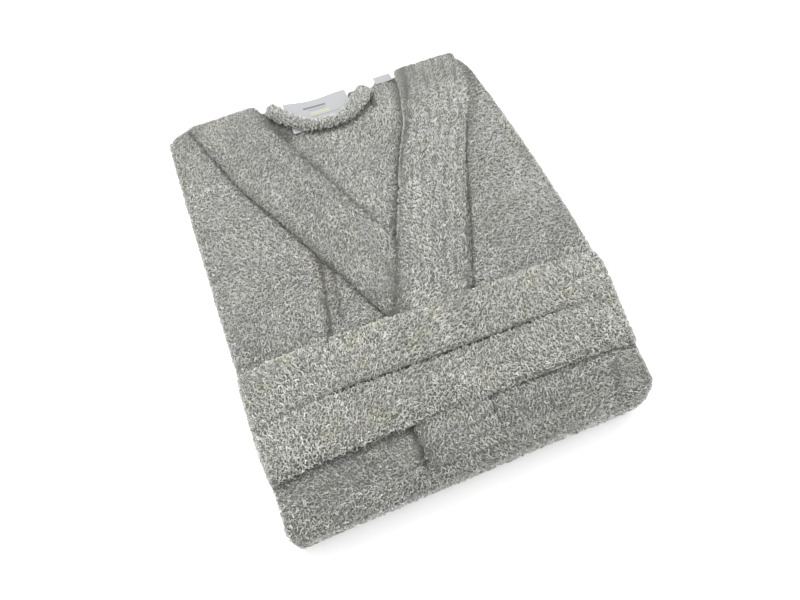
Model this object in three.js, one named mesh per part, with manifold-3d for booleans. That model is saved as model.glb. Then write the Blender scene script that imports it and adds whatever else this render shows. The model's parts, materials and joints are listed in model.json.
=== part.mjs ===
// A terry bathrobe, folded flat as it is stacked on a hotel shelf: chest up, the sides and the
// sleeves folded behind the back, the skirt folded under at the waist and its hem turned inside.
// The belt goes twice round the torso. Millimetres, +Z up. +Y points from the hem to the neck,
// +X is the wearer's left. The origin is on the shelf, under the middle of the pack.
import * as THREE from "three";
import { mergeVertices } from "three/addons/utils/BufferGeometryUtils.js";
import Module from "manifold-3d";

const wasm = await Module();
wasm.setup();

// Driving dimensions of the folded pack
const HALF_WIDTH = 182; // half the width of the torso
const NEAR = -222; // the waist fold
const FAR = 234; // the shoulder end
const GAP = 0.3; // air between two layers of cloth
const EDGE = 2; // how far a cloth edge is rounded off

// Tops of the layers, from the shelf up
const OUTER_SKIRT_TOP = 4.4;
const SKIRT_FRONT_TOP = 8.8;
const SKIRT_BACK_TOP = 13.4;
const SKIRT_SIDE_TOP = 19.2;
const HEM_BACK_TOP = 23;
const SKIRT_TOP = 27;
const BELT_UNDER_TOP = 31.2;
const SLEEVE_TOP = 37.2;
const SIDE_TOP = 44.2;
const BACK_TOP = 50;
const RIGHT_FRONT_TOP = 54.5;
const RIGHT_BAND_TOP = 56;
const LEFT_FRONT_TOP = 59;
const LEFT_BAND_TOP = 60.6;

// The waist fold: a quarter turn, a narrow upright strip and another quarter turn
const FOLD_RADIUS = 18;
const FOLD_CLOTH = 9; // both fronts and the back together
const TANGENT = NEAR + FOLD_RADIUS; // where the flat layers begin
const FLAT_NEAR = TANGENT + GAP;

// Front bands: the wearer's left one lies over the right one
const BAND_EDGE = -48; // free edge of the left front, below the belt
const BAND_WIDTH = 72;
const SEAM = BAND_EDGE + BAND_WIDTH;

// Belt
const BELT_WIDTH = 51;
const TURN_GAP = 1;
const BELT_UPPER_EDGE = -65;
const BELT_CLOTH = 5.5;
const BELT_INNER_HALF = HALF_WIDTH + 0.6;

const GREY = 0xa0a09a;
const LIGHT_GREY = 0xa8a8a1;
const DARK_GREY = 0x93938c;
const WHITE = 0xe8e8e9;
const terry = (shade) =>
  new THREE.MeshStandardMaterial({ color: shade, roughness: 0.95, metalness: 0 });
const woven = (shade) =>
  new THREE.MeshStandardMaterial({ color: shade, roughness: 0.6, metalness: 0 });

const robe = new THREE.Group();

function add(name, geometry, material) {
  const mesh = new THREE.Mesh(geometry, material);
  mesh.name = name;
  robe.add(mesh);
}

// A plan outline from its corner points
function outline(points) {
  return new THREE.Shape(points.map(([x, y]) => new THREE.Vector2(x, y)));
}

// A rectangle with round corners
function panel(x0, y0, x1, y1, r) {
  const s = new THREE.Shape();
  s.absarc(x1 - r, y0 + r, r, -Math.PI / 2, 0);
  s.absarc(x1 - r, y1 - r, r, 0, Math.PI / 2);
  s.absarc(x0 + r, y1 - r, r, Math.PI / 2, Math.PI);
  s.absarc(x0 + r, y0 + r, r, Math.PI, 1.5 * Math.PI);
  return s;
}

// A flat layer of cloth between two heights, its edges rounded off
function layer(shape, z0, z1, edge = EDGE) {
  const g = new THREE.ExtrudeGeometry(shape, {
    depth: z1 - z0 - 2 * edge,
    bevelThickness: edge,
    bevelSize: edge,
    bevelOffset: -edge,
    bevelSegments: 1,
    curveSegments: 4,
  });
  return g.translate(0, 0, z0 + edge);
}

// A section drawn in Y and Z, run across the robe from x0 to x1
function across(shape, x0, x1) {
  const g = new THREE.ExtrudeGeometry(shape, { depth: x1 - x0, bevelEnabled: false });
  const turn = new THREE.Matrix4().makeBasis(
    new THREE.Vector3(0, 1, 0),
    new THREE.Vector3(0, 0, 1),
    new THREE.Vector3(1, 0, 0),
  );
  return g.applyMatrix4(turn).translate(x0, 0, 0);
}

// A section drawn in X and Z, run along the robe from y0 up to y1
function along(shape, y0, y1) {
  const g = new THREE.ExtrudeGeometry(shape, { depth: y1 - y0, bevelEnabled: false });
  const turn = new THREE.Matrix4().makeBasis(
    new THREE.Vector3(1, 0, 0),
    new THREE.Vector3(0, 0, 1),
    new THREE.Vector3(0, -1, 0),
  );
  return g.applyMatrix4(turn).translate(0, y1, 0);
}

function solidOf(geometry) {
  const bare = geometry.clone().deleteAttribute("normal").deleteAttribute("uv");
  const merged = mergeVertices(bare, 1e-3);
  const mesh = new wasm.Mesh({
    numProp: 3,
    vertProperties: merged.attributes.position.array,
    triVerts: new Uint32Array(merged.index.array),
  });
  return new wasm.Manifold(mesh);
}

function geometryOf(solid) {
  const mesh = solid.getMesh();
  const g = new THREE.BufferGeometry();
  g.setAttribute("position", new THREE.BufferAttribute(mesh.vertProperties, 3));
  g.setIndex(new THREE.BufferAttribute(mesh.triVerts, 1));
  g.computeVertexNormals();
  return g;
}

const cut = (body, tool) => geometryOf(solidOf(body).subtract(solidOf(tool)));
const join = (...parts) => geometryOf(parts.map(solidOf).reduce((all, part) => all.add(part)));

// ---- Skirt: front down, from the waist fold back to the shoulder end ----
const SKIRT_HALF = HALF_WIDTH - 1;
const SKIRT_FAR = FAR;
const POCKET = { width: 112, height: 168, inset: 10, rise: 8, thick: 2.2 };

// Both pockets are sewn flat on the fronts, which are pressed in round them
function pocketShape(side, clearance) {
  const middle = side * (-BAND_EDGE + POCKET.inset + POCKET.width / 2);
  const half = POCKET.width / 2 + clearance;
  const near = FLAT_NEAR + POCKET.rise;
  return panel(middle - half, near - clearance, middle + half, near + POCKET.height + clearance, 9);
}

function addSkirtFront(name, shape, side) {
  const body = layer(shape, 0, SKIRT_FRONT_TOP);
  const tool = layer(pocketShape(side, GAP), -1, POCKET.thick + GAP, 0.2);
  add(name, cut(body, tool), terry(GREY));
}

function addSkirt() {
  addSkirtFront("left_skirt_front", panel(SEAM + GAP, FLAT_NEAR, SKIRT_HALF, SKIRT_FAR, 5), 1);
  addSkirtFront("right_skirt_front", panel(-SKIRT_HALF, FLAT_NEAR, BAND_EDGE - GAP, SKIRT_FAR, 5), -1);
  const band = panel(BAND_EDGE, FLAT_NEAR, SEAM, SKIRT_FAR, 3);
  add("left_skirt_band", layer(band, 0, OUTER_SKIRT_TOP), terry(LIGHT_GREY));
  add("right_skirt_band", layer(band, OUTER_SKIRT_TOP + GAP, SKIRT_FRONT_TOP, 1.8), terry(LIGHT_GREY));
  add("left_pocket", layer(pocketShape(1, 0), 0, POCKET.thick, 0.8), terry(LIGHT_GREY));
  add("right_pocket", layer(pocketShape(-1, 0), 0, POCKET.thick, 0.8), terry(LIGHT_GREY));
  const back = panel(-SKIRT_HALF, FLAT_NEAR, SKIRT_HALF, SKIRT_FAR, 8);
  add("skirt_back", layer(back, SKIRT_FRONT_TOP + GAP, SKIRT_BACK_TOP), terry(GREY));
  for (const side of [-1, 1]) {
    const name = side > 0 ? "left_skirt_side" : "right_skirt_side";
    const middle = side * (SKIRT_HALF / 2 + 3);
    const half = SKIRT_HALF / 2 - 3;
    const fold = panel(middle - half, FLAT_NEAR + 8, middle + half, SKIRT_FAR - 4, 8);
    add(name, layer(fold, SKIRT_BACK_TOP + GAP, SKIRT_SIDE_TOP, 2.6), terry(GREY));
  }
}

// The hem is turned inside at the shoulder end and stops short of the waist fold
const HEM_EDGE = NEAR + 120;
function addHem() {
  const back = panel(-SKIRT_HALF + 2, HEM_EDGE, SKIRT_HALF - 2, SKIRT_FAR - 2, 8);
  add("hem_back", layer(back, SKIRT_SIDE_TOP + GAP, HEM_BACK_TOP, 1.6), terry(DARK_GREY));
  add("hem_front", layer(back, HEM_BACK_TOP + GAP, SKIRT_TOP, 1.6), terry(GREY));
}

// ---- Waist fold: the cloth turning under at the waist ----
function quarterTurn(centreZ, direction) {
  const inner = FOLD_RADIUS - FOLD_CLOTH;
  const end = Math.PI - (direction * Math.PI) / 2;
  const s = new THREE.Shape();
  s.absarc(TANGENT, centreZ, FOLD_RADIUS, Math.PI, end, direction > 0);
  s.absarc(TANGENT, centreZ, inner, end, Math.PI, direction < 0);
  return s;
}

function addWaistFold() {
  const upperCentre = LEFT_FRONT_TOP - FOLD_RADIUS;
  const upper = across(quarterTurn(upperCentre, 1), -HALF_WIDTH, HALF_WIDTH);
  add("waist_turn_upper", upper, terry(GREY));
  const lower = across(quarterTurn(FOLD_RADIUS, -1), -SKIRT_HALF, SKIRT_HALF);
  add("waist_turn_lower", lower, terry(GREY));
  const clear = 2 * GAP; // room for the strip's ends to swing past both turns
  const strip = panel(NEAR, FOLD_RADIUS + clear, NEAR + FOLD_CLOTH, upperCentre - clear, 3);
  add("waist_turn_strip", across(strip, -SKIRT_HALF, SKIRT_HALF), terry(GREY));
}

// ---- Torso: sleeves lowest, then the folded sides, the back and the fronts ----
const TORSO_FAR = FAR - 4;
const SLEEVE_WIDTH = 152;
const CUFF_LENGTH = 62;
function addSleeves() {
  for (const side of [-1, 1]) {
    const name = side > 0 ? "left" : "right";
    const middle = side * (24 + SLEEVE_WIDTH / 2);
    const half = SLEEVE_WIDTH / 2;
    const near = FLAT_NEAR + 12;
    const cuffEnd = near + CUFF_LENGTH;
    const sleeve = panel(middle - half, cuffEnd + GAP, middle + half, TORSO_FAR - 8, 6);
    add(name + "_sleeve", layer(sleeve, BELT_UNDER_TOP + GAP, SLEEVE_TOP, 2.4), terry(GREY));
    const cuff = panel(middle - half - 3, near, middle + half + 3, cuffEnd, 5);
    add(name + "_cuff", layer(cuff, BELT_UNDER_TOP + GAP, SLEEVE_TOP, 2.4), terry(LIGHT_GREY));
  }
}

function addBackAndSides() {
  const loopThick = 1.4;
  for (const side of [-1, 1]) {
    const name = side > 0 ? "left" : "right";
    const middle = side * (HALF_WIDTH / 2 + 2);
    const half = HALF_WIDTH / 2 - 2;
    const fold = panel(middle - half, FLAT_NEAR + 6, middle + half, TORSO_FAR - 3, 12);
    add(name + "_side_fold", layer(fold, SLEEVE_TOP + GAP, SIDE_TOP, 3), terry(GREY));
    const loop = panel(side * 12 - 5, BELT_UPPER_EDGE - 78, side * 12 + 5, BELT_UPPER_EDGE - 8, 1);
    add(name + "_belt_loop", layer(loop, SLEEVE_TOP - loopThick, SLEEVE_TOP, 0.4), terry(LIGHT_GREY));
  }
  const back = panel(-HALF_WIDTH + 1, FLAT_NEAR + 4, HALF_WIDTH - 1, TORSO_FAR, 14);
  add("back_panel", layer(back, SIDE_TOP + GAP, BACK_TOP, 2.4), terry(GREY));
}

// A band has a free edge towards the neck, drawn down from the shoulder, and a seam edge that
// joins it to its front, drawn up to the shoulder
const LEFT_FREE = [[84, FAR - 3], [67, 154], [-25, -64], [BAND_EDGE, -160], [BAND_EDGE, FLAT_NEAR]];
const LEFT_SEAM = [[SEAM, FLAT_NEAR], [SEAM + 2, -158], [53, -63], [105, 70], [152, 172], [160, FAR - 5]];
const RIGHT_FREE = [[-80, FAR - 5], [-62, 172], [-9, 48], [SEAM, -40], [SEAM, FLAT_NEAR]];
const RIGHT_SEAM = [[BAND_EDGE, FLAT_NEAR], [-30, -62], [-71, 26], [-123, 130], [-158, FAR - 7]];

// The same edge, a gap further to one side
function beside(edge, gap) {
  return edge.map(([x, y]) => [x + gap, y]);
}

function addFronts() {
  const side = [[HALF_WIDTH - 5, FAR - 15], [HALF_WIDTH, FAR - 32], [HALF_WIDTH, FLAT_NEAR]];
  const left = outline([...beside(LEFT_SEAM, GAP), ...side]);
  add("left_front", layer(left, BACK_TOP + GAP, LEFT_FRONT_TOP), terry(GREY));
  const mirrored = side.map(([x, y]) => [-x, y]);
  const right = outline([...beside(RIGHT_SEAM, -GAP), ...mirrored]);
  add("right_front", layer(right, BACK_TOP + GAP, RIGHT_FRONT_TOP), terry(GREY));
}

function addBands() {
  const right = outline([...RIGHT_FREE, ...RIGHT_SEAM]);
  add("right_front_band", layer(right, BACK_TOP + GAP, RIGHT_BAND_TOP), terry(LIGHT_GREY));
  const left = outline([...LEFT_FREE, ...LEFT_SEAM]);
  const under = outline([...beside(RIGHT_FREE, GAP + 0.2), [-HALF_WIDTH, NEAR], [-HALF_WIDTH, FAR]]);
  const body = layer(left, BACK_TOP + GAP, LEFT_BAND_TOP);
  add("left_front_band", cut(body, layer(under, BACK_TOP, RIGHT_BAND_TOP + GAP, 0.1)), terry(LIGHT_GREY));
}

// ---- Neck: the collar rolls forward in a shallow U over the label and the hanging loop ----
const ROLL = { middle: -8, half: 58, dip: 32, width: 16, low: BACK_TOP + 1.8, high: LEFT_BAND_TOP - 0.2 };
class RollCurve extends THREE.Curve {
  getPoint(t, target = new THREE.Vector3()) {
    const u = 2 * t - 1;
    const y = FAR - 50 + ROLL.dip * Math.abs(u) ** 2.4;
    return target.set(ROLL.middle + ROLL.half * u, y, (ROLL.low + ROLL.high) / 2);
  }
}

function addNeck() {
  const section = new THREE.Shape();
  section.absellipse(0, 0, (ROLL.high - ROLL.low) / 2, ROLL.width / 2, 0, 2 * Math.PI);
  const roll = new THREE.ExtrudeGeometry(section, {
    steps: 18,
    curveSegments: 6,
    extrudePath: new RollCurve(),
    bevelEnabled: false,
  });
  add("collar_roll", roll, terry(GREY));
  const z0 = BACK_TOP + GAP;
  const z1 = z0 + 1.2;
  add("neck_label", layer(panel(-50, FAR - 46, 26, FAR - 8, 1), z0, z1, 0.3), woven(WHITE));
  add("care_label", layer(panel(60, FAR - 15, 79, FAR - 4, 1), z0, z1, 0.3), woven(WHITE));
  const tape = 6;
  const loop = panel(27, FAR - 44, 55, FAR - 9, 5);
  const eye = panel(27 + tape, FAR - 50, 55 - tape, FAR - 9 - tape, 3);
  const body = layer(loop, z0, z1, 0.3);
  add("hanging_loop", cut(body, layer(eye, z0 - 1, z1 + 1, 0.3)), terry(DARK_GREY));
}

// ---- Belt: two turns side by side, crossing from one to the other underneath ----
function beltTurn(y0) {
  const half = BELT_INNER_HALF + BELT_CLOTH;
  const ring = panel(-half, SKIRT_TOP + GAP, half, LEFT_BAND_TOP + GAP + BELT_CLOTH, 8);
  ring.holes.push(panel(-BELT_INNER_HALF, BELT_UNDER_TOP, BELT_INNER_HALF, LEFT_BAND_TOP + GAP, 2));
  return along(ring, y0, y0 + BELT_WIDTH);
}

function addBelt() {
  const upper = BELT_UPPER_EDGE - BELT_WIDTH;
  const lower = upper - TURN_GAP - BELT_WIDTH;
  const overlap = 4;
  const crossing = panel(-70, SKIRT_TOP + GAP + 0.5, 70, BELT_UNDER_TOP - 0.5, 0.4);
  const bridge = along(crossing, upper - TURN_GAP - overlap, upper + overlap);
  add("belt", join(beltTurn(upper), beltTurn(lower), bridge), terry(LIGHT_GREY));
}

addSkirt();
addHem();
addWaistFold();
addSleeves();
addBackAndSides();
addFronts();
addBands();
addNeck();
addBelt();

// The outlines above are measured from the middle of the chest; the origin goes under the middle
// of the whole pack
robe.position.y = -(NEAR + FAR) / 2;

export default robe;
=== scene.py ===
import json
import math

import bmesh
import bpy
import numpy as np
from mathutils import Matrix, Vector
from mathutils.bvhtree import BVHTree


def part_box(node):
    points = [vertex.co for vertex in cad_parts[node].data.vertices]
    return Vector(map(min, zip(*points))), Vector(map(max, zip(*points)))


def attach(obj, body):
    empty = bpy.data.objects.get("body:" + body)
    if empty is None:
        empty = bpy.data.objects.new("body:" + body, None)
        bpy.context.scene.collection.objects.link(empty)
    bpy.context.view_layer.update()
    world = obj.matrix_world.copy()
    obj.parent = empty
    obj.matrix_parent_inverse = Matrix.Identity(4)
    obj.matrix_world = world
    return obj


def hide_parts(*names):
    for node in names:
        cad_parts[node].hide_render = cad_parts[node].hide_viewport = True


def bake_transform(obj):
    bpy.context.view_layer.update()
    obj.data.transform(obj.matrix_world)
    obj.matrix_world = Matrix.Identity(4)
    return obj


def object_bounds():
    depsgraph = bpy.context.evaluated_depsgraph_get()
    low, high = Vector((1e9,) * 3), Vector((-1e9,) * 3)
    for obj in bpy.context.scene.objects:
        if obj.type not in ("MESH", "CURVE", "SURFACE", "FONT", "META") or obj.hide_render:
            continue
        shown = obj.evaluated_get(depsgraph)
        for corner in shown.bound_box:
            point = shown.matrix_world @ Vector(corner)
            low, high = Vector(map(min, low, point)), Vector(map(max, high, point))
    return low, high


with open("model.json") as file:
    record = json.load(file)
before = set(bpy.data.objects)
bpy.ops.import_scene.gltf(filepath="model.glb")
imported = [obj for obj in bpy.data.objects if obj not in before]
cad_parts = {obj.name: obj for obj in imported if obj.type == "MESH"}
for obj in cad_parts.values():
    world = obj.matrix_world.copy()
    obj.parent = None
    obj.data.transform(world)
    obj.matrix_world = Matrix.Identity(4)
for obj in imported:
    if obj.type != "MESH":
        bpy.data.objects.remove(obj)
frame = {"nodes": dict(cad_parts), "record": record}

# A grey terry bathrobe folded flat, chest up, with its belt wrapped twice round it. Every layer
# of cloth is grown from its CAD solid, rounded and settled as pressed terry lies, and then sewn
# full of uncut cotton loops. Metres throughout; MM turns millimetres into them.
MM = 0.001
CAD_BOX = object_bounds()
LOW, HIGH = CAD_BOX
BODY_OF = {n: b for b, nodes in frame["record"]["behaviour"]["bodies"].items() for n in nodes}
RNG = np.random.default_rng(20)

# Sizes taken from the frame
HALF_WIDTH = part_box("left_front")[1].x
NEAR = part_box("waist_turn_strip")[0].y
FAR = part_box("skirt_back")[1].y
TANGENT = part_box("left_front")[0].y  # where the flat layers meet the waist turn
FRONT_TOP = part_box("left_front")[1].z
RIGHT_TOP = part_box("right_front")[1].z
LEFT_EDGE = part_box("left_skirt_band")[0].x  # free edge of the left front
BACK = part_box("back_panel")
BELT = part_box("belt")
BELT_MIDDLE = (BELT[0].y + BELT[1].y) / 2
BELT_TURN = (BELT[1].y - BELT[0].y) / 2  # from edge to edge of one turn
FOLD_MIDDLE = (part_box("waist_turn_strip")[0].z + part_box("waist_turn_strip")[1].z) / 2


# ---- Small helpers ----
def linear(hex_colour):
    """An sRGB hex colour as linear RGBA."""
    parts = [int(hex_colour[i : i + 2], 16) / 255 for i in (1, 3, 5)]
    return [c / 12.92 if c <= 0.04045 else ((c + 0.055) / 1.055) ** 2.4 for c in parts] + [1]


def smoothstep(t):
    t = np.clip(t, 0, 1)
    return t * t * (3 - 2 * t)


def far_end_of(co):
    """Nought over most of the pack, rising to one at its shoulder end."""
    return smoothstep((co[:, 1] - 150 * MM) / (70 * MM))


def points_of(piece):
    co = np.empty(len(piece.data.vertices) * 3)
    piece.data.vertices.foreach_get("co", co)
    return co.reshape(-1, 3)


def move_points(piece, co):
    piece.data.vertices.foreach_set("co", np.ascontiguousarray(co, np.float32).ravel())
    piece.data.update()


def normals_of(piece):
    no = np.empty(len(piece.data.vertices) * 3)
    piece.data.vertices.foreach_get("normal", no)
    return no.reshape(-1, 3)


def only(piece):
    """Selects this piece alone and makes it active."""
    bpy.ops.object.select_all(action="DESELECT")
    piece.select_set(True)
    bpy.context.view_layer.objects.active = piece


def apply_place(piece):
    only(piece)
    bpy.ops.object.transform_apply(location=True, rotation=True, scale=True)


# ---- Camera, light and floor ----
def make_camera():
    """Looks down on the pack from the hem end, a little from the wearer's right."""
    azimuth, elevation, distance = math.radians(-21.04), math.radians(64.34), 0.6851
    target = Vector((-0.0132, -0.0509, 0.050))
    back = Vector((
        math.sin(azimuth) * math.cos(elevation),
        -math.cos(azimuth) * math.cos(elevation),
        math.sin(elevation),
    ))
    bpy.ops.object.camera_add(location=target + back * distance)
    camera = bpy.context.object
    camera.name = "camera"
    camera.data.lens = 31.5
    camera.data.sensor_width = 36
    camera.rotation_mode = "QUATERNION"
    camera.rotation_quaternion = (-back).to_track_quat("-Z", "Y")
    bpy.context.scene.camera = camera


def area_light(name, place, size, power):
    bpy.ops.object.light_add(type="AREA", location=place)
    light = bpy.context.object
    light.name = name
    light.data.shape = "DISK"
    light.data.size = size
    light.data.energy = power
    light.rotation_mode = "QUATERNION"
    light.rotation_quaternion = Vector(place).to_track_quat("Z", "Y")


def make_studio():
    area_light("key_light", (-0.35, 0.55, 1.1), 0.5, 13)
    area_light("fill_light", (0.7, -0.6, 1.2), 1.2, 4)
    world = bpy.data.worlds.new("studio")
    world.use_nodes = True
    world.node_tree.nodes["Background"].inputs["Color"].default_value = (1, 1, 1, 1)
    world.node_tree.nodes["Background"].inputs["Strength"].default_value = 1.3
    bpy.context.scene.world = world
    bpy.context.scene.view_settings.view_transform = "Standard"
    bpy.ops.mesh.primitive_plane_add(size=60, location=(0, 0, LOW.z - 0.5 * MM))
    floor = bpy.context.object
    floor.name = "floor"
    floor.data.materials.append(floor_paper())


# ---- Materials ----
def new_material(name):
    material = bpy.data.materials.new(name)
    material.use_nodes = True
    return material, material.node_tree, material.node_tree.nodes["Principled BSDF"]


def add_node(tree, kind, links=(), **settings):
    """Adds a node, sets its properties and inputs, and links its inputs."""
    node = tree.nodes.new(kind)
    for key, value in settings.items():
        if key in node.inputs:
            node.inputs[key].default_value = value
        else:
            setattr(node, key, value)
    for key, source in dict(links).items():
        tree.links.new(source, node.inputs[key])
    return node


def ramp(tree, factor, *stops):
    node = add_node(tree, "ShaderNodeValToRGB", {"Fac": factor})
    elements = node.color_ramp.elements
    while len(elements) < len(stops):
        elements.new(0.5)
    for element, (position, colour) in zip(elements, stops):
        element.position = position
        element.color = linear(colour)
    return node.outputs["Color"]


def noise(tree, size, detail=2.0, offset=0.0):
    """Noise whose features are about this many metres across."""
    place = add_node(tree, "ShaderNodeTexCoord").outputs["Object"]
    moved = add_node(tree, "ShaderNodeMapping", {"Vector": place}, Location=(offset, offset, offset))
    node = add_node(
        tree, "ShaderNodeTexNoise", {"Vector": moved.outputs["Vector"]}, Scale=1 / size, Detail=detail
    )
    return node.outputs["Fac"]


def mix(tree, factor, a, b, blend="MIX"):
    """Mixes two colours. factor and b may be a socket or a plain value."""
    node = tree.nodes.new("ShaderNodeMix")
    node.data_type = "RGBA"
    node.blend_type = blend
    for index, value in ((0, factor), (6, a), (7, b)):
        if isinstance(value, bpy.types.NodeSocket):
            tree.links.new(value, node.inputs[index])
        else:
            node.inputs[index].default_value = value
    return node.outputs[2]


def floor_paper():
    """White seamless paper: matte and even."""
    material, _, shader = new_material("white_paper")
    shader.inputs["Base Color"].default_value = linear("#f6f6f6")
    shader.inputs["Roughness"].default_value = 0.9
    shader.inputs["Specular IOR Level"].default_value = 0.1
    return material


def terry_ground(name, dark, light, crease=None):
    """The woven ground of terry: cotton twisted so tight that it is nearly lost under the loops.
    Its colour is painted darker than the loops, as painted shade for the little light that reaches
    it, and almost black in a deep crease, as painted shadow. Its weave of about 0.6 mm is drawn 1.2 mm
    coarse, so that it shows."""
    material, tree, shader = new_material(name)
    patches = ramp(tree, noise(tree, 30 * MM, 3), (0.35, dark), (0.7, light))
    weave = noise(tree, 1.2 * MM, 1)
    colour = mix(tree, 0.5, patches, ramp(tree, weave, (0.3, "#6e6e69"), (0.7, "#ffffff")), "MULTIPLY")
    if crease:
        place = add_node(tree, "ShaderNodeTexCoord").outputs["Object"]
        # painted shadow: the ground is drawn almost black along the crease
        colour = mix(tree, bar_on(tree, place, *crease), colour, linear("#3a3a36"))
    tree.links.new(colour, shader.inputs["Base Color"])
    bump = add_node(tree, "ShaderNodeBump", {"Height": weave}, Strength=0.6, Distance=0.5 * MM)
    tree.links.new(bump.outputs["Normal"], shader.inputs["Normal"])
    shader.inputs["Roughness"].default_value = 0.95
    shader.inputs["Sheen Weight"].default_value = 0.15
    shader.inputs["Specular IOR Level"].default_value = 0.2
    return material


def terry_loops(name, dark, middle, light, warm):
    """Uncut cotton pile of a grey melange yarn: each loop takes its own shade, and worn or
    sun-warmed patches a few centimetres wide turn a little yellow."""
    material, tree, shader = new_material(name)
    shade = add_node(tree, "ShaderNodeAttribute", attribute_name="shade").outputs["Fac"]
    yarn = ramp(tree, shade, (0.0, dark), (0.45, middle), (1.0, light))
    broad = ramp(tree, noise(tree, 45 * MM, 2), (0.3, "#eaeaea"), (0.7, "#ffffff"))
    toned = mix(tree, 1.0, yarn, broad, "MULTIPLY")
    patchy = noise(tree, 26 * MM, 2, 3.7)
    spots = add_node(tree, "ShaderNodeMapRange", {"Value": patchy})
    spots.inputs["From Min"].default_value = 0.55
    spots.inputs["From Max"].default_value = 0.85
    sunned = mix(tree, 1.0, toned, linear(warm), "MULTIPLY")
    warmed = mix(tree, spots.outputs["Result"], toned, sunned)
    tree.links.new(warmed, shader.inputs["Base Color"])
    shader.inputs["Roughness"].default_value = 0.9
    shader.inputs["Sheen Weight"].default_value = 0.2
    shader.inputs["Specular IOR Level"].default_value = 0.25
    return material


def bar_on(tree, place, centre, half):
    """One where a point lies in the plan rectangle about centre, and nought outside it."""
    axes = add_node(tree, "ShaderNodeSeparateXYZ", {"Vector": place})
    inside = []
    for axis, middle, reach in zip("XY", centre, half):
        near = add_node(tree, "ShaderNodeMath", {0: axes.outputs[axis]}, operation="COMPARE")
        near.inputs[1].default_value = middle * MM
        near.inputs[2].default_value = reach * MM
        inside.append(near.outputs["Value"])
    both = add_node(tree, "ShaderNodeMath", {0: inside[0], 1: inside[1]}, operation="MULTIPLY")
    return both.outputs["Value"]


def satin_label():
    """Woven polyester satin: white but drawn grey as painted shade, a little glossy, with a fine cross rib
    and plain bars.
    """
    material, tree, shader = new_material("woven_satin")
    place = add_node(tree, "ShaderNodeTexCoord").outputs["Object"]
    rib = add_node(
        tree, "ShaderNodeTexWave", {"Vector": place}, bands_direction="Y", Scale=120.0, Distortion=0.4
    )
    # the white satin is drawn grey here: painted shade
    colour = mix(tree, 0.08, linear("#8f9092"), rib.outputs["Color"], "MULTIPLY")
    bars = (
        ((-17, 208.5), (13, 1.5), "#5b5c60"),
        ((-15, 204), (10, 0.7), "#717277"),
        ((-13, 198.5), (11, 2.0), "#9a9883"),
        ((-8, 193.5), (17, 0.6), "#717277"),
    )
    for centre, half, shade in bars:
        colour = mix(tree, bar_on(tree, place, centre, half), colour, linear(shade))
    tree.links.new(colour, shader.inputs["Base Color"])
    bump = add_node(tree, "ShaderNodeBump", {"Height": rib.outputs["Fac"]}, Strength=0.3, Distance=0.2 * MM)
    tree.links.new(bump.outputs["Normal"], shader.inputs["Normal"])
    shader.inputs["Roughness"].default_value = 0.45
    shader.inputs["Sheen Weight"].default_value = 0.1
    return material


def twill_tape():
    """Dark cotton twill tape with a slanting rib of about 1 mm."""
    material, tree, shader = new_material("twill_tape")
    place = add_node(tree, "ShaderNodeTexCoord").outputs["Object"]
    rib = add_node(
        tree, "ShaderNodeTexWave", {"Vector": place}, bands_direction="DIAGONAL", Scale=200.0
    )
    colour = ramp(tree, rib.outputs["Fac"], (0.2, "#35352f"), (0.8, "#5c5c57"))
    tree.links.new(colour, shader.inputs["Base Color"])
    shader.inputs["Roughness"].default_value = 0.85
    return material


# ---- How the soft pack settles ----
def round_corner(co, sign_x, sign_y, radius):
    """Rounds one plan corner of the whole pack, layer by layer alike."""
    limit = FAR if sign_y > 0 else -NEAR
    dx = np.clip((sign_x * co[:, 0] - (HALF_WIDTH - radius)) / radius, 0, 1)
    dy = np.clip((sign_y * co[:, 1] - (limit - radius)) / radius, 0, 1)
    co[:, 0] -= sign_x * radius * dx * (1 - np.sqrt(1 - dy**2 / 2))
    co[:, 1] -= sign_y * radius * dy * (1 - np.sqrt(1 - dx**2 / 2))


def settle(co):
    """Where a point of the neat CAD pack comes to lie in the real, pressed one. All pieces and all
    loops go through it, so layers keep clear of each other."""
    co = co.copy()
    for sign_x, near_radius, far_radius in ((-1, 10 * MM, 10 * MM), (1, 15 * MM, 13 * MM)):
        round_corner(co, sign_x, -1, near_radius)
        round_corner(co, sign_x, 1, far_radius)
    x, y, z = co.T
    height = np.clip(z / FRONT_TOP, 0, None)
    inward = np.minimum(HALF_WIDTH - np.abs(x), np.minimum(FAR - y, y - NEAR))
    crown = 1 - 0.07 * (1 - smoothstep(inward / (38 * MM)))
    cinch = 0.035 * np.exp(-(((y - BELT_MIDDLE) / (62 * MM)) ** 2))
    waves = (
        0.9 * np.sin(x / (52 * MM) + y / (71 * MM))
        + 0.7 * np.sin(x / (33 * MM) - y / (44 * MM) + 1.3)
        + 0.5 * np.sin(y / (23 * MM) + 2.1 * np.sin(x / (40 * MM)))
    ) * MM
    z_new = z * (crown - cinch) + waves * height**1.5
    lift = 2.4 * MM * np.clip(1 - z / (12 * MM), 0, 1)  # the loops underneath carry the pack
    bulge = 0.022 - 1.5 * (y + 60 * MM) ** 2 - 0.032 * smoothstep((-y - 80 * MM) / (80 * MM))
    taper = 0.998 - 0.009 * smoothstep((-y - 120 * MM) / (60 * MM))
    x_new = np.where(x > 0, x * (1 + bulge), x * taper)
    askew = 7.5 * MM * (x + HALF_WIDTH) / (2 * HALF_WIDTH) - 1.5 * MM
    slant = askew * smoothstep((-y - 96 * MM) / (130 * MM))
    raised = 10 * MM * smoothstep(-x / (90 * MM)) + 2 * MM * smoothstep(x / (90 * MM)) - 1.5 * MM
    upper = 0.3 + 0.7 * smoothstep(z / (38 * MM))  # the skirt underneath follows less
    shoulder = raised * upper * smoothstep((y - 144 * MM) / (80 * MM))
    droop = -7 * MM * (np.abs(x) / HALF_WIDTH) ** 5 * np.exp(-(((y - BELT_MIDDLE) / (70 * MM)) ** 2))
    return np.stack([x_new, y + slant + shoulder + droop, z_new + lift], 1)


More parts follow.
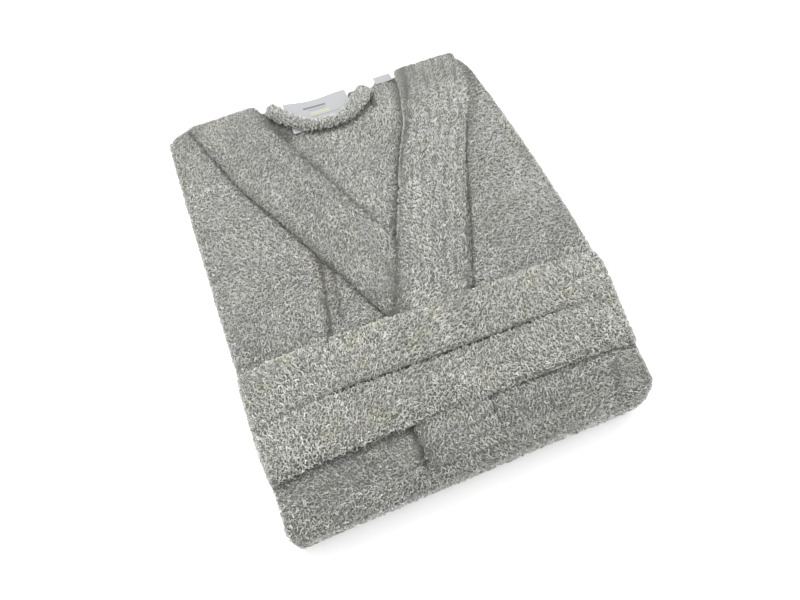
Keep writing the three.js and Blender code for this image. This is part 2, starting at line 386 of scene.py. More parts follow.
# ---- Cloth pieces grown from the CAD solids ----
def copy_of(node):
    source = frame["nodes"][node]
    piece = source.copy()
    piece.data = source.data.copy()
    for key in list(piece.keys()):
        del piece[key]
    piece.parent = None
    piece.data.materials.clear()
    bpy.context.collection.objects.link(piece)
    piece.hide_render = False
    piece.hide_viewport = False
    return piece


def rod(radius_x, radius_y, length, centre, along):
    """A round fold of cloth, lying along X or Y."""
    bpy.ops.mesh.primitive_cylinder_add(vertices=28, radius=1, depth=1)
    piece = bpy.context.object
    piece.scale = (radius_x, radius_y, length)
    piece.rotation_euler = (math.pi / 2, 0, 0) if along == "Y" else (math.pi / 2, 0, math.pi / 2)
    piece.location = centre
    apply_place(piece)
    return piece


def joined(name, parts):
    only(parts[0])
    for part in parts:
        part.select_set(True)
    bpy.ops.object.join()
    piece = bpy.context.object
    piece.name = name
    piece.data.name = name
    return piece


def grow(name, parts, voxel=2.8 * MM, rounds=3):
    """One smooth closed skin round all the parts, its edges rounded as folded terry is."""
    piece = joined(name, parts)
    bm = bmesh.new()
    bm.from_mesh(piece.data)
    bmesh.ops.remove_doubles(bm, verts=bm.verts, dist=1e-6)
    bm.to_mesh(piece.data)
    bm.free()
    piece.data.remesh_voxel_size = voxel
    only(piece)
    bpy.ops.object.voxel_remesh()
    relax = piece.modifiers.new("relax", "SMOOTH")
    relax.factor = 0.5
    relax.iterations = rounds
    bpy.ops.object.modifier_apply(modifier=relax.name)
    return piece


def sheet_of(name, node, cell=9 * MM, rounds=2):
    """A plain layer: its CAD solid cut into cells, so that it can round off and settle."""
    piece = copy_of(node)
    piece.name = name
    bm = bmesh.new()
    bm.from_mesh(piece.data)
    bmesh.ops.remove_doubles(bm, verts=bm.verts, dist=1e-6)
    low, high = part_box(node)
    for axis in (0, 1):
        direction = Vector((1, 0, 0) if axis == 0 else (0, 1, 0))
        cuts = max(1, round((high[axis] - low[axis]) / cell))
        for step in range(1, cuts):
            place = direction * (low[axis] + (high[axis] - low[axis]) * step / cuts)
            geom = [*bm.verts, *bm.edges, *bm.faces]
            bmesh.ops.bisect_plane(bm, geom=geom, plane_co=place, plane_no=direction)
    for _ in range(rounds):
        bmesh.ops.smooth_vert(
            bm, verts=bm.verts, factor=0.5, use_axis_x=True, use_axis_y=True, use_axis_z=True
        )
    bmesh.ops.triangulate(bm, faces=bm.faces)
    bm.to_mesh(piece.data)
    bm.free()
    return piece


def to_line(co, line):
    """How far points lie in plan from a line of plan points given in millimetres, and on which side
    of it, as a distance in metres that is positive to the left of the line's way."""
    nearest = np.full(len(co), 1e9)
    signed = np.zeros(len(co))
    for start, end in zip(line, line[1:]):
        a, b = np.array(start) * MM, np.array(end) * MM
        way = (b - a) / np.linalg.norm(b - a)
        t = np.clip(((co[:, :2] - a) @ (b - a)) / ((b - a) @ (b - a)), 0, 1)
        off = co[:, :2] - a - t[:, None] * (b - a)
        far = np.linalg.norm(off, axis=1)
        closer = far < nearest
        nearest[closer] = far[closer]
        signed[closer] = (way[0] * off[:, 1] - way[1] * off[:, 0])[closer]
    return nearest, signed


def press_along(co, line, depth, width):
    """Presses the cloth down along a line of plan points, deepest on the line."""
    co[:, 2] -= depth * MM * np.exp(-((to_line(co, line)[0] / (width * MM)) ** 2))


def pleat(co, line, depth, width):
    """A soft pleat: the cloth dips along the line and rides up beside it."""
    nearest, signed = to_line(co, line)
    press_along(co, line, depth, width)
    crest = np.exp(-(((signed - 7 * MM) / (6 * MM)) ** 2)) * (nearest < 16 * MM)
    co[:, 2] += 0.45 * depth * MM * crest


# The seams where the bands join the fronts, from the shoulder down, and the bands' free edges
LEFT_SEAM = [(171, 223), (162, 166), (146, 140), (105, 64), (53, -69)]
RIGHT_SEAM = [(-158, 221), (-123, 124), (-71, 20), (-30, -68)]
LEFT_FREE = [(95, 225), (86, 186), (73, 148), (44, 94), (-25, -70)]
LEFT_HEM = [(-25, -70), (-48, -166), (-48, -210)]  # the left free edge from the belt down
RIGHT_FREE = [(-80, 223), (-62, 166), (-9, 42)]
PLEAT = [(-72, 20), (-82, -34), (-90, -72)]
SMALL_PLEAT = [(-64, 8), (-74, -56)]
SIDE_LINE = [(147, -186), (139, -216)]  # a crease near the side, on the left front's skirt end


BASES = []  # (piece, body, kind of loops, blend, slot) of every cloth piece


def cloth(piece, body, nodes, material, kind, slot="terry", blend=None):
    """Settles a finished piece, gives it its finish, attaches it to its body, hides the CAD parts it
    replaces and lists it for the pile.
    """
    move_points(piece, settle(points_of(piece)))
    piece.data.materials.clear()
    piece.data.materials.append(material)
    only(piece)
    bpy.ops.object.shade_smooth()
    if blend:
        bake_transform(piece)
    else:
        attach(piece, body)
    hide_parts(*nodes)
    BASES.append((piece, body, kind, blend, slot))
    return piece


def draw_into_turn(co):
    """Draws the near end of a layer on into the waist turn, so that no gap opens between them."""
    co[:, 1] -= 7 * MM * smoothstep((TANGENT + 16 * MM - co[:, 1]) / (16 * MM))


def make_fronts(ground):
    """Each front runs from its band over the side of the pack and on behind the back."""
    fold_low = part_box("left_side_fold")[0].z
    for side, sign, top in (("left", 1, FRONT_TOP), ("right", -1, RIGHT_TOP)):
        half = (top - fold_low) / 2
        reach = 13 * MM
        low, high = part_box(side + "_side_fold")
        centre = (sign * (HALF_WIDTH - reach), (low.y + high.y) / 2 - 4 * MM, fold_low + half)
        fold = rod(reach, half, high.y - low.y - 10 * MM, centre, "Y")
        parts = [copy_of(side + "_front"), copy_of(side + "_side_fold"), fold]
        piece = grow(side + "_front_cloth", parts, 3.4 * MM, 3)
        co = points_of(piece)
        draw_into_turn(co)
        upper = co[:, 2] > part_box("back_panel")[1].z
        pressed = co[upper]
        press_along(pressed, LEFT_SEAM if side == "left" else RIGHT_SEAM, 1.3, 10)
        if side == "right":
            pleat(pressed, PLEAT, 3.6, 5)
            pleat(pressed, SMALL_PLEAT, 2.2, 4)
        else:
            press_along(pressed, SIDE_LINE, 2.4, 5)
        co[upper] = pressed
        move_points(piece, co)
        nodes = [side + "_front", side + "_side_fold"]
        cloth(piece, "torso", nodes, ground, "front")


def make_bands(ground):
    for side, middle in (("left", 122 * MM), ("right", -119 * MM)):
        node = side + "_front_band"
        low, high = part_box(node)
        half = (high.z - BACK[0].z) / 2
        turn = rod(half, half, 68 * MM, (middle, high.y - half, BACK[0].z + half), "X")
        piece = grow(side + "_band_cloth", [copy_of(node), turn], 2.9 * MM, 3)
        co = points_of(piece)
        draw_into_turn(co)
        if side == "left":  # it spreads towards the corner of the shoulder
            wider = 1 + 0.25 * smoothstep((co[:, 0] - 100 * MM) / (60 * MM))
            co[:, 0] += 11 * MM * wider * smoothstep((co[:, 1] - 85 * MM) / (120 * MM))
        upper = co[:, 2] > (low.z + high.z) / 2
        pressed = co[upper]
        pressed[:, 2] += (1.3 if side == "left" else 0.8) * MM
        press_along(pressed, LEFT_SEAM if side == "left" else RIGHT_SEAM, 0.9, 6)
        press_along(pressed, LEFT_FREE if side == "left" else RIGHT_FREE, 1.4, 5)
        if side == "left":
            press_along(pressed, LEFT_HEM, 1.4, 5)
        co[upper] = pressed
        move_points(piece, co)
        cloth(piece, "torso", [node], ground, "band", "terry_band")


def make_back(ground):
    piece = sheet_of("back_cloth", "back_panel", 5 * MM, 3)
    co = points_of(piece)
    co[:, 0] *= 0.93
    neck = smoothstep((82 * MM - np.abs(co[:, 0] + 8 * MM)) / (24 * MM))
    co[:, 1] -= 9 * MM * far_end_of(co) * neck
    upper = co[:, 2] > (BACK[0].z + BACK[1].z) / 2
    pressed = co[upper]
    press_along(pressed, LEFT_FREE, 2.5, 7)
    press_along(pressed, RIGHT_FREE, 2.5, 7)
    co[upper] = pressed
    move_points(piece, co)
    cloth(piece, "torso", ["back_panel"], ground, "back")


ROLL_BOTTOM = FAR - 50 * MM  # the middle of the collar roll where it reaches furthest forward


def make_collar(ground):
    """The collar rolls forward in a U that is slack at its ends and drawn thin in the middle."""
    piece = grow("collar_cloth", [copy_of("collar_roll")], 2.0 * MM, 3)
    co = points_of(piece)
    low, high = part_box("collar_roll")
    centre, half = (low.x + high.x) / 2, (high.x - low.x) / 2
    u = np.clip((co[:, 0] - centre) / half, -1, 1)
    middle = ROLL_BOTTOM + 32 * MM * np.abs(u) ** 2.4
    behind = co[:, 1] > middle
    co[:, 1] = middle + (co[:, 1] - middle) * (0.72 + 0.3 * u**2)
    slack = 11 * MM * np.exp(-(((u - 0.62) / 0.3) ** 2)) + 5 * MM * np.exp(-(((u + 0.8) / 0.25) ** 2))
    co[:, 1] += np.where(behind, slack, 0)
    move_points(piece, co)
    cloth(piece, "torso", ["collar_roll"], ground, "collar")


def make_sleeves(ground):
    for side in ("left", "right"):
        for part in ("sleeve", "cuff"):
            node = f"{side}_{part}"
            cloth(sheet_of(node + "_cloth", node), "torso", [node], ground, "under")
        node = side + "_belt_loop"
        cloth(sheet_of(node + "_cloth", node, 4 * MM, 1), "torso", [node], ground, "tape", "terry_band")


def make_waist_turn(ground):
    """The cloth that turns under at the waist, in two halves that meet halfway down."""
    nodes = ["waist_turn_upper", "waist_turn_strip", "waist_turn_lower"]
    whole = grow("waist_turn", [copy_of(n) for n in nodes], 3 * MM, 2)
    co = points_of(whole)
    step = FRONT_TOP - RIGHT_TOP
    share = smoothstep((co[:, 2] - FOLD_MIDDLE) / (FRONT_TOP - FOLD_MIDDLE - 8 * MM))
    co[:, 2] -= step * share * smoothstep((LEFT_EDGE + 3 * MM - co[:, 0]) / (5 * MM))
    move_points(whole, co)
    top = (0, TANGENT, FRONT_TOP)
    middle = (0, NEAR, FOLD_MIDDLE)
    bottom = (0, TANGENT, 0)
    for name, keep_up in (("waist_turn_upper_cloth", True), ("waist_turn_lower_cloth", False)):
        piece = whole.copy()
        piece.data = whole.data.copy()
        piece.name = name
        bpy.context.collection.objects.link(piece)
        bm = bmesh.new()
        bm.from_mesh(piece.data)
        found = bmesh.ops.bisect_plane(
            bm,
            geom=[*bm.verts, *bm.edges, *bm.faces],
            plane_co=(0, 0, FOLD_MIDDLE),
            plane_no=(0, 0, 1),
            clear_inner=keep_up,
            clear_outer=not keep_up,
        )
        rim = [e for e in found["geom_cut"] if isinstance(e, bmesh.types.BMEdge)]
        bmesh.ops.holes_fill(bm, edges=rim)
        bmesh.ops.recalc_face_normals(bm, faces=bm.faces)
        bm.to_mesh(piece.data)
        bm.free()
        if keep_up:
            cloth(piece, "torso", ["waist_turn_upper"], ground, "turn", "terry",
                  ("torso", "waist_turn", top, middle))
        else:
            cloth(piece, "skirt", ["waist_turn_strip", "waist_turn_lower"], ground, "turn", "terry",
                  ("waist_turn", "skirt", middle, bottom))
    bpy.data.objects.remove(whole)


def make_skirt(ground):
    """The underside: the skirt's fronts, their pockets, and the hem turned in at the far end."""
    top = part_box("hem_front")[1].z
    side_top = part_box("left_skirt_side")[1].z
    end = top / 2
    for side, sign in (("left", 1), ("right", -1)):
        front = side + "_skirt_front"
        fold_node = side + "_skirt_side"
        low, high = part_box(front)
        half = side_top / 2
        length = high.y - low.y - 4 * MM
        fold = rod(11 * MM, half, length, (sign * (HALF_WIDTH - 12 * MM), (low.y + high.y) / 2, half), "Y")
        width = high.x - low.x - 4 * MM
        hem = rod(end, end, width, ((low.x + high.x) / 2, FAR - end, end), "X")
        parts = [copy_of(front), copy_of(fold_node), fold, hem]
        cloth(grow(side + "_skirt_cloth", parts, 3.3 * MM, 2), "skirt", [front, fold_node], ground, "under")
        node = side + "_pocket"
        cloth(sheet_of(node + "_cloth", node, 5 * MM, 1), "skirt", [node], ground, "pocket", "terry_band")
    low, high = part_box("left_skirt_band")
    hem = rod(end, end, high.x - low.x - 4 * MM, ((low.x + high.x) / 2, FAR - end, end), "X")
    cloth(grow("left_skirt_band_cloth", [copy_of("left_skirt_band"), hem], 3 * MM, 2), "skirt",
          ["left_skirt_band"], ground, "under", "terry_band")
    for node in ("right_skirt_band", "skirt_back", "hem_back", "hem_front"):
        piece = sheet_of(node + "_cloth", node)
        co = points_of(piece)
        if node != "right_skirt_band":
            co[:, 0] *= 0.95
        co[:, 1] = np.where(co[:, 1] > 0, co[:, 1] * 0.975, co[:, 1])
        move_points(piece, co)
        cloth(piece, "skirt", [node], ground, "under")


def make_belt(ground):
    """Two turns of a double band, each a little fuller along its middle than at its sewn edges."""
    piece = grow("belt_cloth", [copy_of("belt")], 2.9 * MM, 2)
    co = points_of(piece)
    outward = normals_of(piece)
    outside = (np.abs(co[:, 0]) > HALF_WIDTH + 3 * MM) | (co[:, 2] > BELT[1].z - 3 * MM)
    across = np.clip(np.abs(co[:, 1] - BELT_MIDDLE) / BELT_TURN, 0, 1)  # from the crease to an edge
    full = (0.6 - 3.4 * across**7) * MM
    ripple = 0.6 * MM * np.sin(co[:, 0] / (19 * MM) + 3 * across) * across
    parting = -2.6 * MM * np.exp(-(((co[:, 1] - BELT_MIDDLE) / (2.8 * MM)) ** 2))
    parting *= 0.45 + 0.55 * middle_of_belt(co)
    co += outward * np.where(outside, full + ripple + parting, 0)[:, None]
    over = np.clip(np.abs(co[:, 0]) - HALF_WIDTH + 4 * MM, 0, None)
    co[:, 0] -= np.sign(co[:, 0]) * 0.55 * over
    move_points(piece, co)
    cloth(piece, "belt", ["belt"], ground, "belt", "terry_belt")


def make_labels(satin, tape):
    for node in ("neck_label", "care_label"):
        piece = sheet_of(node + "_cloth", node, 4 * MM, 0)
        co = points_of(piece)
        if node == "neck_label":
            far_edge = smoothstep((co[:, 1] - (FAR - 34 * MM)) / (26 * MM))
            co[:, 1] += 4 * MM * smoothstep((co[:, 0] + 30 * MM) / (50 * MM)) * far_edge
            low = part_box(node)[0]
            corner = smoothstep((low.x + 38 * MM - co[:, 0]) / (36 * MM))
            corner *= smoothstep((low.y + 16 * MM - co[:, 1]) / (14 * MM))
            co[:, 1] -= 6 * MM * corner  # it shows below the collar roll
            co[:, 2] += (1.4 + 0.8 * np.sin(co[:, 0] / (14 * MM))) * MM
        else:
            right = co[:, 0].max()
            co[:, 0] = right + 1.2 * (co[:, 0] - right) + 11 * MM
            co[:, 1] += 5 * MM
        move_points(piece, co)
        cloth(piece, "torso", [node], satin, "none", "label_satin")
    cloth(sheet_of("hanging_loop_tape", "hanging_loop", 3 * MM, 0), "torso", ["hanging_loop"], tape,
          "none", "loop_tape")


# ---- Loops ----
# One loop stands up from the cloth, leans over and goes back in. Its line is drawn once, in
# millimetres, and every loop on the robe is a turned and scaled copy.
LOOP_LINE = np.array([
    (-1.7, 0.0, -1.2),
    (-1.2, 0.3, 1.8),
    (1.4, -0.3, 2.2),
    (2.3, 0.0, -1.2),
])
SIDES = 3  # of the yarn, which is enough at its size
WIDER_OR_NARROWER = (0.75, 1.25)  # how loops differ in size
CURL = (-1, 1.6)  # how loops differ in how far they twist out of their plane


def loop_template(line, radius):
    """Points and triangles of one loop of yarn, closed to a point at both ends."""
    verts = [line[0]]
    for i in range(1, len(line) - 1):
        ahead = line[i + 1] - line[i - 1]
        ahead /= np.linalg.norm(ahead)
        across = np.cross(ahead, (0, 1, 0))
        across /= np.linalg.norm(across)
        other = np.cross(ahead, across)
        for s in range(SIDES):
            a = 2 * math.pi * (s + 0.5 * (i % 2)) / SIDES
            verts.append(line[i] + radius * (math.cos(a) * across + math.sin(a) * other))
    verts.append(line[-1])
    rings = len(line) - 2
    last = len(verts) - 1
    faces = []
    for s in range(SIDES):
        n = (s + 1) % SIDES
        faces.append((0, 1 + n, 1 + s))
        for r in range(rings - 1):
            a, b = 1 + r * SIDES, 1 + (r + 1) * SIDES
            shift = 0 if r % 2 else -1
            faces.append((a + s, a + n, b + (s + shift + 1) % SIDES))
            faces.append((a + s, b + (s + shift + 1) % SIDES, b + (s + shift) % SIDES))
        end = 1 + (rings - 1) * SIDES
        faces.append((end + s, end + n, last))
    return np.array(verts), np.array(faces)


# Per kind of cloth: square millimetres for each loop, its length and height as shares of the drawn
# one, yarn radius in mm, the way it lies and how much that drifts (radians), and its mean shade
KINDS = {
    "front": dict(area=2.8, size=0.74, high=0.82, radius=0.5, way=0.3, drift=0.6, shade=0.55),
    "back": dict(area=2.8, size=0.72, high=0.76, radius=0.5, way=1.2, drift=0.6, shade=0.57),
    "band": dict(area=2.7, size=0.7, high=0.78, radius=0.5, way=1.3, drift=0.4, shade=0.52),
    "collar": dict(area=2.6, size=0.7, high=0.85, radius=0.46, way=1.5, drift=0.3, shade=0.64),
    # the turn is drawn darker than the front: painted shade where the pack's near edge curves down
    "turn": dict(area=2.9, size=0.78, high=0.84, radius=0.51, way=1.2, drift=0.5, shade=0.45),
    "belt": dict(area=2.8, size=0.78, high=0.98, radius=0.52, way=1.45, drift=0.5, shade=0.58),
    "under": dict(area=3.6, size=0.85, high=0.72, radius=0.56, way=0.8, drift=0.8, shade=0.52),
    "pocket": dict(area=3.4, size=0.76, high=0.62, radius=0.52, way=0.4, drift=0.6, shade=0.58),
}
LEAN = 0.6  # the most that a loop leans sideways, in radians
STRAY = 0.75  # how far single loops stray from the way the pile lies, in radians
SPREAD = 0.17  # how much the loops' shades differ
OCCLUSION_REACH = 14 * MM
# how much the pile is painted darker where it is closed in: painted shade
PAINTED_OCCLUSION = 1.2
FEELERS = 5  # rays sent out round a point to find what shelters it
COVERED = 12 * MM  # a loop with its own body's cloth this near above it is left out
HIDDEN_SHARE = 0.2  # of the loops are kept where another body covers the cloth at rest
UNDER_BELT_SHARE = 0.45  # of them on the chest, which shows when the belt slides off
GROWTH = 0.4  # loops grow by this power where fewer of them have to cover the cloth
PRESSED = (0.5, 0.2)  # height left in loops between the layers, and in those inside the belt
MOST_LOOPS = 16000  # in one piece of pile

# Lines along seams, band edges, pleats, a side crease and the collar recess where the pile is painted
# darker, as painted shade: plan points, how dark, and how far to each side
PAINTED_SHADE_LINES = [
    (LEFT_SEAM, 0.26, 6.5),
    (RIGHT_SEAM, 0.24, 6.5),
    (LEFT_FREE, 0.4, 6.0),
    (RIGHT_FREE, 0.3, 6.0),
    (LEFT_HEM, 0.3, 7.0),
    (PLEAT, 0.5, 4.0),
    (SMALL_PLEAT, 0.4, 3.0),
    (SIDE_LINE, 0.3, 4.0),
    # painted shadow in the recess beside the collar roll
    ([(-67, 198), (-58, 178)], 0.7, 6.5),  # the recess beside the collar roll
]
ROW_STEP = 11.5 * MM  # between the rows of stitching along the left band
PARTED = 2.7 * MM  # no loops stand this near the crease between the belt's two turns


def sample(piece, per_loop):
    """Seeded points spread over a piece's skin, with their normals."""
    mesh = piece.data
    mesh.calc_loop_triangles()
    tri = np.empty(len(mesh.loop_triangles) * 3, np.int32)
    mesh.loop_triangles.foreach_get("vertices", tri)
    tri = tri.reshape(-1, 3)
    co, no = points_of(piece), normals_of(piece)
    a, b, c = (co[tri[:, i]] for i in range(3))
    area = np.linalg.norm(np.cross(b - a, c - a), axis=1) / 2
    count = int(area.sum() / (per_loop * MM * MM))
    steps = (np.arange(count) + RNG.random(count)) / count
    chosen = np.searchsorted(np.cumsum(area) / area.sum(), steps).clip(0, len(tri) - 1)
    u, v = RNG.random(count), RNG.random(count)
    flip = u + v > 1
    u[flip], v[flip] = 1 - u[flip], 1 - v[flip]
    weights = np.stack([1 - u - v, u, v], 1)[:, :, None]
    place = (co[tri[chosen]] * weights).sum(1)
    normal = (no[tri[chosen]] * weights).sum(1)
    return place, normal / np.linalg.norm(normal, axis=1)[:, None]


def tree_of(pieces):
    verts, faces = [], []
    for piece in pieces:
        start = len(verts)
        verts += [v.co[:] for v in piece.data.vertices]
        faces += [tuple(start + i for i in p.vertices) for p in piece.data.polygons]
    return BVHTree.FromPolygons(verts, faces)


def open_to(tree, place, normal, reach):
    """For each point, whether nothing lies within reach above the cloth there."""
    found = np.empty(len(place), bool)
    for i, (p, n) in enumerate(zip(place, normal)):
        start = Vector(p + n * 0.7 * MM)
        found[i] = tree.ray_cast(start, Vector(n), reach)[0] is None
    return found


def flow(place, way, drift):
    """The way the loops lie here: it drifts over a few centimetres, as a hand leaves it."""
    x, y, _ = (place / MM).T
    return way + drift * (np.sin(x / 41 + 1.7 * np.sin(y / 57)) + np.sin(y / 36 - x / 67 + 1.1))


def occlusion(tree, place, normal):
    """How closed in each point is, from 0 in the open to 1, as seen by rays sent out round it. The
    pile is painted darker by this deep in a seam or a fold, as painted shade drawn into its colour."""
    blocked = np.zeros(len(place))
    for i, (p, n) in enumerate(zip(place, normal)):
        n = Vector(n)
        side = n.orthogonal().normalized()
        other = n.cross(side)
        start = Vector(p) + n * 1.2 * MM
        for turn in range(FEELERS):
            a = 2 * math.pi * turn / FEELERS
            way = n * 0.5 + (side * math.cos(a) + other * math.sin(a)) * 0.87
            hit = tree.ray_cast(start, way, OCCLUSION_REACH)[3]
            if hit is not None:
                blocked[i] += (1 - hit / OCCLUSION_REACH) / FEELERS
    return blocked


def middle_of_belt(place):
    """One over the middle of the chest, and nought near the sides."""
    return np.exp(-((np.abs(place[:, 0]) / (120 * MM)) ** 4))


def from_crease(place):
    """How far settled points lie from the crease between the belt's two turns."""
    crease = place.copy()
    crease[:, 1] = BELT_MIDDLE
    return np.abs(place[:, 1] - settle(crease)[:, 1])


def kept_share(place, normal, bare):
    """How many of the loops drawn for a place are sewn: all on top, where the pack is looked at
    closely, and fewer but bigger ones at its sides, underneath and between its layers."""
    share = np.interp(normal[:, 2], (-0.5, 0.1, 0.6), (0.28, 0.65, 1.0))
    under_belt = (normal[:, 2] > 0.5) & (place[:, 2] > BACK[0].z)
    return np.where(bare, share, np.where(under_belt, UNDER_BELT_SHARE, HIDDEN_SHARE))


def tone(place, normal, kind):
    """How much lighter or darker the pile is here than the rest of its cloth: painted shade along seams,
    edges, pleats, the collar recess, the belt's crease and the pack's near edge; lighter on the left band
    with darker stitch rows; and darker towards the shoulder end.
    """
    change = np.zeros(len(place))
    top = normal[:, 2] > 0.3
    if kind != "belt":
        # painted shade along seams, band edges, pleats and the collar recess
        for line, dark, width in PAINTED_SHADE_LINES:
            change -= dark * np.exp(-((to_line(place, line)[0] / (width * MM)) ** 2))
    else:
        # painted shade in the crease between the belt's two turns, broken along its length and strongest
        # over the chest
        darker_by = 0.7 + 0.3 * np.sin(place[:, 0] / (21 * MM)) * np.sin(place[:, 0] / (5 * MM))
        darker_by *= 0.35 + 0.65 * middle_of_belt(place)
        change -= 0.75 * darker_by * np.exp(-((from_crease(place) / (3.2 * MM)) ** 2))
    if kind == "band":
        from_edge = to_line(place, LEFT_FREE)[0]
        to_row = np.abs((from_edge - ROW_STEP / 2) % ROW_STEP - ROW_STEP / 2)
        breaks = 0.6 + 0.4 * np.sin(place[:, 1] / (7 * MM) + from_edge / ROW_STEP * 9)
        on_left = smoothstep((place[:, 0] - RIGHT_FREE[2][0] * MM) / (6 * MM))
        change += (0.17 - 0.5 * breaks * np.exp(-((to_row / (1.5 * MM)) ** 2))) * on_left
    if kind in ("front", "band"):
        # darker towards the shoulder end, more where x > 0
        darker_by = np.where(place[:, 0] > 0, 0.22, 0.08)
        change -= darker_by * smoothstep((place[:, 1] - 150 * MM) / (60 * MM))
        # painted shade where the pack's near edge curves down
        change -= 0.13 * smoothstep((-place[:, 1] - 165 * MM) / (30 * MM))
    return change * top


def sew_loops(name, spots, kind, body, blend, material):
    """One piece of pile: a loop at each spot, turned and leaned at random."""
    place, normal = spots["place"], spots["normal"]
    k = KINDS[kind]
    line = LOOP_LINE * (k["size"], 1, k["high"])
    verts, faces = loop_template(line, k["radius"])
    n = len(place)
    helper = np.where(np.abs(normal[:, :1]) < 0.8, np.array([[1.0, 0, 0]]), np.array([[0, 1.0, 0]]))
    side = np.cross(normal, helper)
    side /= np.linalg.norm(side, axis=1)[:, None]
    way = flow(place, k["way"], k["drift"])
    combed = np.stack([np.cos(way), np.sin(way), np.zeros(n)], 1)
    ahead = combed - normal * (combed * normal).sum(1)[:, None]
    steep = np.linalg.norm(ahead, axis=1) < 0.2
    ahead[steep] = side[steep]
    ahead /= np.linalg.norm(ahead, axis=1)[:, None]
    turned = RNG.normal(0, STRAY, n)[:, None]
    ahead = ahead * np.cos(turned) + np.cross(normal, ahead) * np.sin(turned)
    across = np.cross(normal, ahead)
    lean = (RNG.random(n) - 0.5) * 2 * LEAN
    up = normal * np.cos(lean)[:, None] + across * np.sin(lean)[:, None]
    across = np.cross(up, ahead)
    far_end = far_end_of(place) * np.where(place[:, 0] > 0, 1, 0.35)  # pressed more even there
    grown = spots["grown"] * (1 - 0.12 * far_end)
    height = spots["height"] * (1 - 0.4 * far_end)
    scale = (RNG.uniform(*WIDER_OR_NARROWER, n) * grown)[:, None, None] * MM
    curl = RNG.uniform(*CURL, n)[:, None, None]
    local = verts[None, :, :] * scale
    co = (
        place[:, None, :]
        + local[:, :, :1] * ahead[:, None, :]
        + local[:, :, 1:2] * curl * across[:, None, :]
        + local[:, :, 2:] * height[:, None, None] * up[:, None, :]
    )
    co = co.reshape(-1, 3)
    co[:, 2] = np.maximum(co[:, 2], LOW.z + 0.1 * MM)
    per = len(verts)
    all_faces = (faces[None] + (np.arange(n) * per)[:, None, None]).reshape(-1)
    mesh = bpy.data.meshes.new(name)
    mesh.vertices.add(len(co))
    mesh.loops.add(len(all_faces))
    mesh.polygons.add(len(all_faces) // 3)
    mesh.vertices.foreach_set("co", co.astype(np.float32).ravel())
    mesh.loops.foreach_set("vertex_index", all_faces.astype(np.int32))
    mesh.polygons.foreach_set("loop_start", np.arange(0, len(all_faces), 3, dtype=np.int32))
    mesh.polygons.foreach_set("use_smooth", np.ones(len(all_faces) // 3, bool))
    mesh.update()
    mesh.validate()
    shade = k["shade"] + RNG.normal(0, SPREAD, n) * (1 - 0.75 * far_end)
    # painted shade: loops closed in by nearby cloth are drawn darker
    shade = np.clip(shade + tone(place, normal, kind) - PAINTED_OCCLUSION * spots["closed_in"], 0, 1)
    layer = mesh.attributes.new("shade", "FLOAT", "POINT")
    layer.data.foreach_set("value", np.repeat(shade, per).astype(np.float32))
    add_loop_map(mesh, n, per, faces)
    mesh.materials.append(material)
    piece = bpy.data.objects.new(name, mesh)
    bpy.context.collection.objects.link(piece)
    if blend:
        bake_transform(piece)
    else:
        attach(piece, body)
    return piece


def add_loop_map(mesh, n, per, faces):
    """A flat map with one small square for each loop."""
    grid = math.ceil(math.sqrt(n))
    along = np.array([0] + [1 + i // SIDES for i in range(per - 2)] + [1 + (per - 2) // SIDES])
    along = along / along.max()
    around = np.array([0.5] + [(i % SIDES) / (SIDES - 1) for i in range(per - 2)] + [0.5])
    u = (np.arange(n) % grid)[:, None] + 0.12 + 0.76 * along[faces.ravel()][None]
    v = (np.arange(n) // grid)[:, None] + 0.12 + 0.76 * around[faces.ravel()][None]
    uv = mesh.uv_layers.new(name="OFBake")
    uv.uv.foreach_set("vector", (np.stack([u, v], 2) / grid).astype(np.float32).ravel())


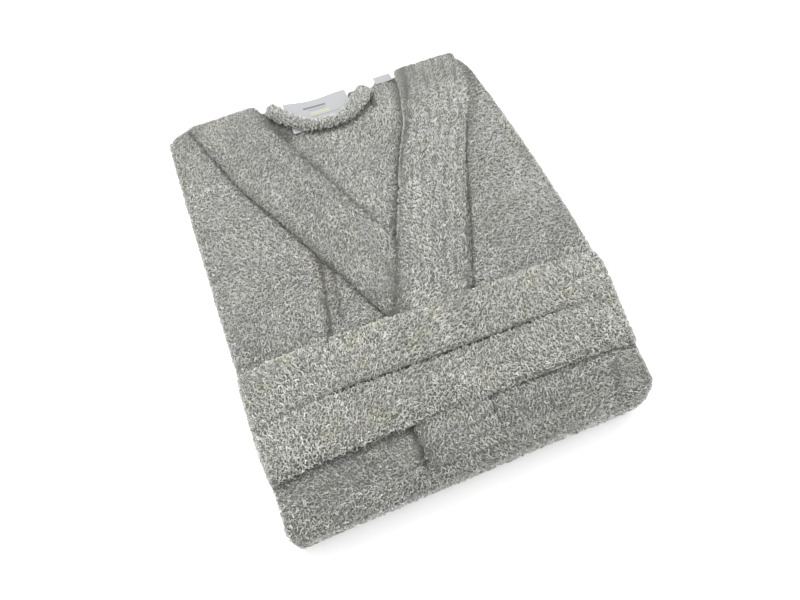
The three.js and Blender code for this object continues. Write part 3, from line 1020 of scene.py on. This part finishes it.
def make_pile(materials):
    groups = {}
    for piece, body, *_ in BASES:
        groups.setdefault(body, []).append(piece)
    own = {body: tree_of(pieces) for body, pieces in groups.items()}
    others = {
        body: tree_of([p for b, ps in groups.items() if b != body for p in ps]) for body in groups
    }
    everything = tree_of([row[0] for row in BASES])
    made = {}
    for piece, body, kind, blend, slot in BASES:
        if kind not in KINDS:
            continue
        place, normal = sample(piece, KINDS[kind]["area"])
        if kind == "belt":
            beat = np.sin(place[:, 0] / (1.4 * MM)) + np.sin(place[:, 0] / (3.3 * MM))
            reach = PARTED * (0.4 + 0.6 * middle_of_belt(place)) * (0.5 + 0.23 * beat)
            parting = (from_crease(place) < reach) & (normal[:, 2] > 0.5)
            place, normal = place[~parting], normal[~parting]
        keep = open_to(own[body], place, normal, COVERED)
        place, normal = place[keep], normal[keep]
        bare = open_to(others[body], place, normal, COVERED)
        share = kept_share(place, normal, bare)
        keep = RNG.random(len(bare)) < share
        place, normal, bare = place[keep], normal[keep], bare[keep]
        spots = {
            "place": place,
            "normal": normal,
            "grown": share[keep] ** -GROWTH,
            "height": np.where(bare, 1.0, PRESSED[kind == "belt"]),
            "closed_in": occlusion(everything, place, normal) * bare,
        }
        parts = max(1, math.ceil(len(place) / MOST_LOOPS))
        order = np.argsort(place[:, 1], kind="stable")
        material = materials["belt" if kind == "belt" else "robe"]
        pile = []
        for i, rows in enumerate(np.array_split(order, parts)):
            name = f"{piece.name.removesuffix('_cloth')}_loops" + (f"_{i + 1}" if parts > 1 else "")
            chosen = {key: values[rows] for key, values in spots.items()}
            pile.append(sew_loops(name, chosen, kind, body, blend, material))
        made[piece.name] = pile
    return made


def main():
    make_camera()
    make_studio()
    ground = terry_ground("terry_ground", "#6e6e69", "#84847f")
    # the belt ground is painted almost black along this crease, as painted shadow
    crease = ((5, BELT_MIDDLE / MM), (112, 1.4))  # middle and half sides in plan, in millimetres
    belt_ground = terry_ground("belt_ground", "#73736c", "#898982", crease)
    piles = {
        "robe": terry_loops("cotton_loops", "#7c7c77", "#c8c8c4", "#fdfdf9", "#fffdf0"),
        "belt": terry_loops("belt_loops", "#80807a", "#cacac3", "#fdfdf8", "#fdfde8"),
    }
    make_fronts(ground)
    make_bands(ground)
    make_back(ground)
    make_collar(ground)
    make_sleeves(ground)
    make_waist_turn(ground)
    make_skirt(ground)
    make_belt(belt_ground)
    make_labels(satin_label(), twill_tape())
    make_pile(piles)


main()
